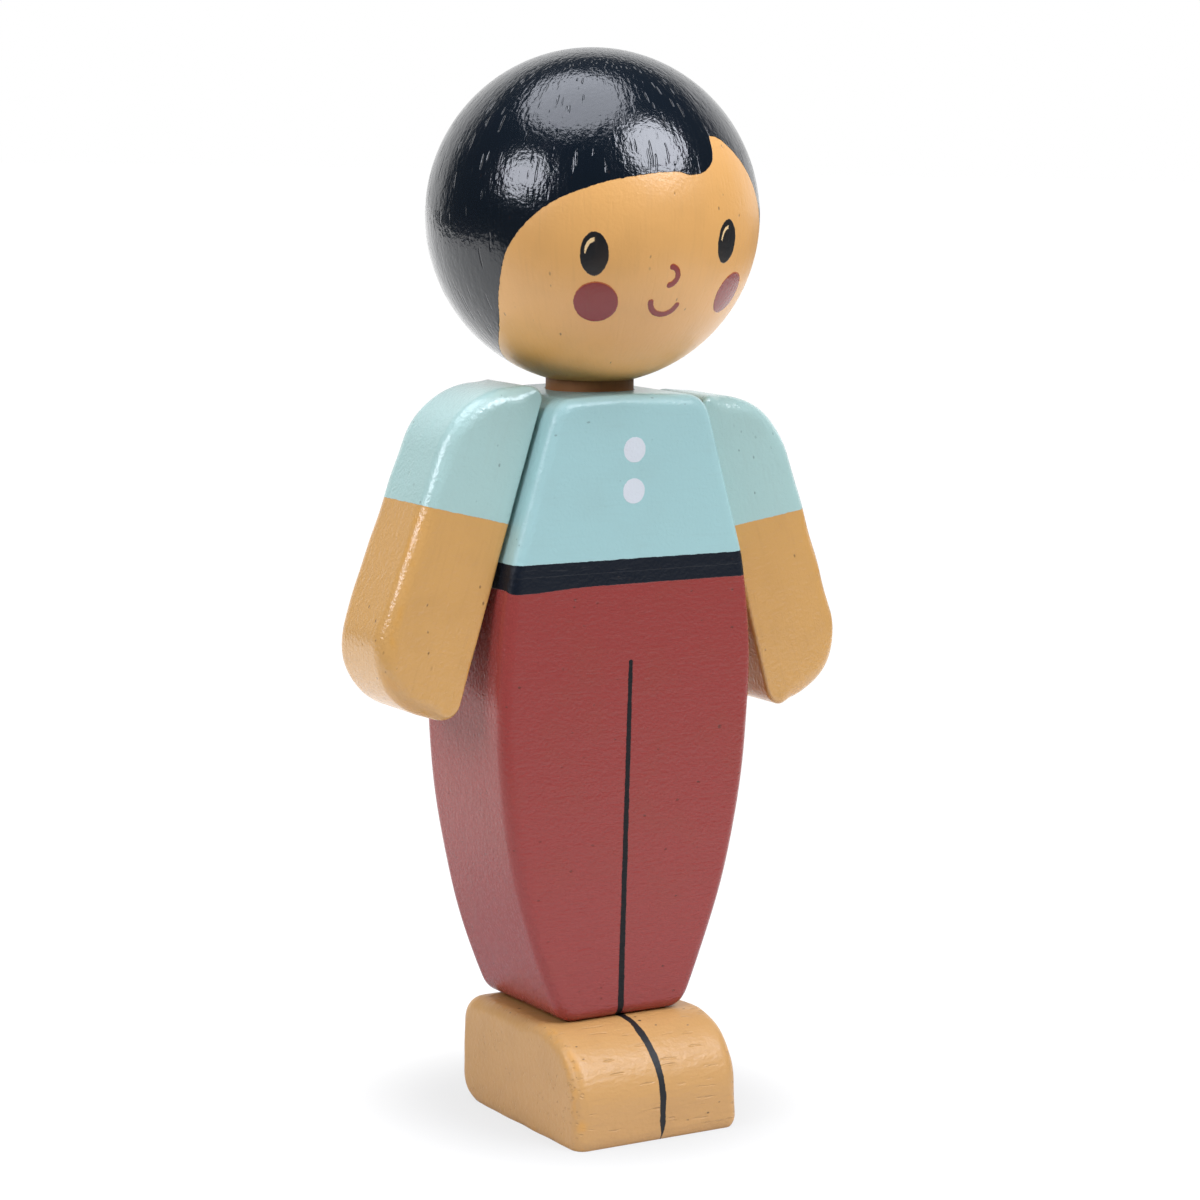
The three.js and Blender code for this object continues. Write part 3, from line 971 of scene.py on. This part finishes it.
def body_paint():
    finish = Finish("body_paint")
    look = Look(finish, BRICK)
    front = front_mask(finish)
    down = FLY_TOP - finish.z
    past_top = finish.largest(FLY_HALF_WIDTH - down, 0.0)
    half_width = down * FLY_WIDENING + FLY_HALF_WIDTH
    fly = half_width - finish.length(finish.x + down * FLY_DRIFT, past_top)
    look.coat(ragged(finish, fly) * front, LINE_BLACK)
    right_edge = finish.fade(finish.x, *BELT_DIP_ACROSS)
    dip = right_edge * finish.fade(finish.y, *BELT_DIP_DEPTH) * BELT_DIP
    above_trousers = finish.z - BELT_BOTTOM + dip
    look.coat(ragged(finish, finish.z - (BELT_TOP + BELT_BOTTOM) / 2), MINT)
    look.coat(ragged(finish, finish.smallest(above_trousers, BELT_TOP - finish.z)), BELT)
    finish.surface.inputs["Specular IOR Level"].default_value = BODY_SHEEN
    for height in BUTTON_HEIGHTS:
        inside = BUTTON_RADIUS - finish.length(finish.x, finish.z - height)
        look.coat(ragged(finish, inside) * front, BUTTON)
    return settle(look, grain=0, grit=BODY_GRIT)


def rub_edges(look):
    """Lets the wood's colour through the paint on the rubbed edges."""
    finish = look.finish
    rubbed = finish.stored("worn") * finish.fade(finish.noise(finish.place, RUB_WAVES), *RUB_FROM)
    look.tint(rubbed * RUB_STRENGTH, SKIN_THIN.colour)


def arm_paint(side_name, side):
    finish = Finish("arm_paint_" + side_name)
    look = Look(finish, SKIN)
    rub_edges(look)
    height, rise = CUFFS[side_name]
    look.coat(ragged(finish, finish.z - height - finish.x * (rise * side)), SLEEVE)
    finish.surface.inputs["Specular IOR Level"].default_value = ARM_SHEEN
    return settle(look, grain=2, grit=ARM_GRIT)


def feet_paint():
    finish = Finish("feet_paint")
    look = Look(finish, FOOT)
    rub_edges(look)
    forward = -1.0 * finish.y - finish.z
    middle = finish.fade(forward, *PARTING_BEND) * PARTING_SHIFT
    uneven = finish.noise(finish.place, PARTING_WAVES) + MIDDLE
    taper = finish.fade(forward, PARTING_END, PARTING_END - PARTING_TAPER)
    half_width = taper * PARTING_HALF_WIDTH * uneven
    look.coat(ragged(finish, half_width - abs(finish.x - middle)) * front_mask(finish), LINE_BLACK)
    return settle(look, grain=0)


def bare_wood():
    return settle(Look(Finish("bare_wood"), BARE), grain=2)


# The figure

def show(piece, material, body, node):
    piece.data.materials.clear()
    piece.data.materials.append(material)
    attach(piece, body)
    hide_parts(node)


def add_figure():
    wood = bare_wood()
    head, radius = head_ball()
    store_hairline(head, radius)
    show(head, head_paint(radius), "head", "head")
    show(neck_post(), wood, "trunk", "neck_dowel")
    show(body_board(), body_paint(), "trunk", "body")
    show(feet_block(), feet_paint(), "trunk", "feet")
    for side_name, side in (("right", -1), ("left", 1)):
        arm = arm_bar(side_name, side)
        show(arm, arm_paint(side_name, side), side_name + "_arm", "arm_" + side_name)
        for dowel in ("shoulder_peg_", "foot_dowel_"):
            frame["nodes"][dowel + side_name].material_slots[0].material = wood


# Camera and studio

def add_camera():
    heading = math.radians(CAMERA_HEADING)
    dip = math.radians(CAMERA_DIP)
    roll = math.radians(CAMERA_ROLL)
    level = math.cos(dip)
    ahead = Vector((math.sin(heading) * level, math.cos(heading) * level, -math.sin(dip)))
    right = Vector((math.cos(heading), -math.sin(heading), 0))
    up = right.cross(ahead)
    rolled_right = right * math.cos(roll) + up * math.sin(roll)
    rolled_up = up * math.cos(roll) - right * math.sin(roll)
    data = bpy.data.cameras.new("camera")
    data.lens = CAMERA_LENS
    data.sensor_width = CAMERA_SENSOR
    data.clip_start, data.clip_end = CAMERA_RANGE
    camera = bpy.data.objects.new("camera", data)
    axes = Matrix((rolled_right, rolled_up, -ahead)).transposed().to_4x4()
    camera.matrix_world = Matrix.Translation(CAMERA_PLACE * MM) @ axes
    bpy.context.scene.collection.objects.link(camera)
    bpy.context.scene.camera = camera


LIGHT_TARGET = Vector((0, 0, 0.085))  # metres, and so is the distance
LIGHT_DISTANCE = 0.55
LIGHT_COLOUR = (0.95, 0.985, 1.09)
ELLIPSE_SHARE = math.pi / 4  # of the rectangle round it
# Each soft box: direction in degrees as on the face, half its width and height in degrees, and brightness
SOFT_BOXES = {
    "left_box": (-83, 27, 15, 12.5, 7.8),
    "right_box": (25, 45, 19, 18, 9.3),
    "top_box": (-110, 81, 27, 25, 4.0),
}


def add_soft_box(name, azimuth, elevation, half_width, half_height, brightness):
    out = Vector(on_ball(azimuth, elevation))
    data = bpy.data.lights.new(name, "AREA")
    data.shape = "ELLIPSE"
    data.size = 2 * LIGHT_DISTANCE * math.tan(math.radians(half_width))
    data.size_y = 2 * LIGHT_DISTANCE * math.tan(math.radians(half_height))
    data.energy = brightness * math.pi * data.size * data.size_y * ELLIPSE_SHARE
    data.color = LIGHT_COLOUR
    light = bpy.data.objects.new(name, data)
    light.location = LIGHT_TARGET + out * LIGHT_DISTANCE
    light.rotation_euler = out.to_track_quat("Z", "Y").to_euler()
    bpy.context.scene.collection.objects.link(light)


BEHIND = (math.sin(math.radians(CAMERA_HEADING)), math.cos(math.radians(CAMERA_HEADING)), 0.0)
BESIDE = (BEHIND[1], -BEHIND[0], 0.0)
BACKDROP_BRIGHTNESS = 1.1
BACKDROP_SIDE = (0.45, 0.72)  # cosines of the angle from straight behind, between which it fades in
BACKDROP_TOP = (0.68, 0.5)  # sines of the height, between which it fades in downwards
ROOM_BRIGHTNESS = 0.08
FLOOR_RADIUS = 4.0  # metres
FLOOR_SEGMENTS = 96
FLOOR_ALBEDO = 0.75
FLOOR_BRIGHTNESS = 0.1  # glow of the far floor, and what the glowing sheet on it adds, both painted light that stands in for lit floor
SHEET_BRIGHTNESS = 1.4
SHEET_FRONT = (60, 180)  # the glowing sheet ends towards the front between these distances
SHEET_LEFT = (400, 500)  # and the same to the left and to the right, as the camera sees it
SHEET_RIGHT = (190, 270)
SHEET_SLANT = 0.6  # its left edge leads away from the figure towards the back
NEAR_FLOOR = (40, 110)  # up to here the floor throws back real light, and beyond it it glows with painted light of a set brightness
PAINTED_SHADE_REACH = (13, 32)  # up to here the picture shows a painted shadow, the floor's soft grey round the feet, and beyond it plain white
PAINTED_SHADE_GREY = 0.77  # the painted shadow's brightness, the floor's brightness in full shadow
FLOOR_SEEN = 0.075  # and how much the light adds to it


def add_floor():
    mesh = bpy.data.meshes.new("floor")
    work = bmesh.new()
    bmesh.ops.create_circle(work, cap_ends=True, segments=FLOOR_SEGMENTS, radius=FLOOR_RADIUS)
    work.to_mesh(mesh)
    work.free()
    floor = bpy.data.objects.new("floor", mesh)
    bpy.context.scene.collection.objects.link(floor)
    finish = Finish("floor_white")
    seen = finish.given("ShaderNodeLightPath", "Is Camera Ray")
    away = finish.length(finish.x, finish.y)
    across = finish.along(finish.place, BESIDE)
    behind = finish.along(finish.place, BEHIND)
    sheet = finish.fade(behind, -SHEET_FRONT[1], -SHEET_FRONT[0])
    slanted = finish.largest(behind, 0.0) * SHEET_SLANT + across
    sheet = sheet * finish.fade(slanted, -SHEET_LEFT[1], -SHEET_LEFT[0])
    sheet = sheet * finish.fade(across, SHEET_RIGHT[1], SHEET_RIGHT[0])
    far = finish.fade(away, *NEAR_FLOOR)
    # For the camera the floor glows, dimmed to a painted shadow of soft grey round the feet and plain
    # beyond it
    white = finish.between(finish.fade(away, *PAINTED_SHADE_REACH), PAINTED_SHADE_GREY, 1.0)
    # For light, the floor beyond the near part glows as painted light standing in for lit floor, brightest
    # on the sheet
    glow = finish.between(seen, far * (sheet * SHEET_BRIGHTNESS + FLOOR_BRIGHTNESS), white)
    albedo = finish.between(seen, (1.0 - far) * FLOOR_ALBEDO, FLOOR_SEEN)
    finish.feed(finish.surface.inputs["Base Color"], finish.blend(albedo, (0, 0, 0, 1), (1, 1, 1, 1)))
    finish.feed(finish.surface.inputs["Emission Strength"], glow)
    finish.surface.inputs["Emission Color"].default_value = (1, 1, 1, 1)
    finish.surface.inputs["Roughness"].default_value = 1.0
    finish.surface.inputs["Specular IOR Level"].default_value = 0.0
    mesh.materials.append(finish.material)


def add_world():
    """White all round for the camera, and for light a white sweep behind the figure in a dim room."""
    world = bpy.data.worlds.new("studio")
    bpy.context.scene.world = world
    sky = Shader(world)
    direction = sky.given("ShaderNodeTexCoord", "Generated")
    height = sky.parts(direction)[2]
    sweep = sky.fade(sky.along(direction, BEHIND), *BACKDROP_SIDE) * sky.fade(height, *BACKDROP_TOP)
    light = sky.between(sweep, ROOM_BRIGHTNESS, BACKDROP_BRIGHTNESS)
    seen = sky.given("ShaderNodeLightPath", "Is Camera Ray")
    background = sky.tree.nodes["Background"]
    background.inputs["Color"].default_value = (1, 1, 1, 1)
    sky.feed(background.inputs["Strength"], sky.between(seen, light, 1.0))


add_figure()
add_camera()
for box_name, setting in SOFT_BOXES.items():
    add_soft_box(box_name, *setting)
add_floor()
add_world()
bpy.context.scene.view_settings.view_transform = "Standard"
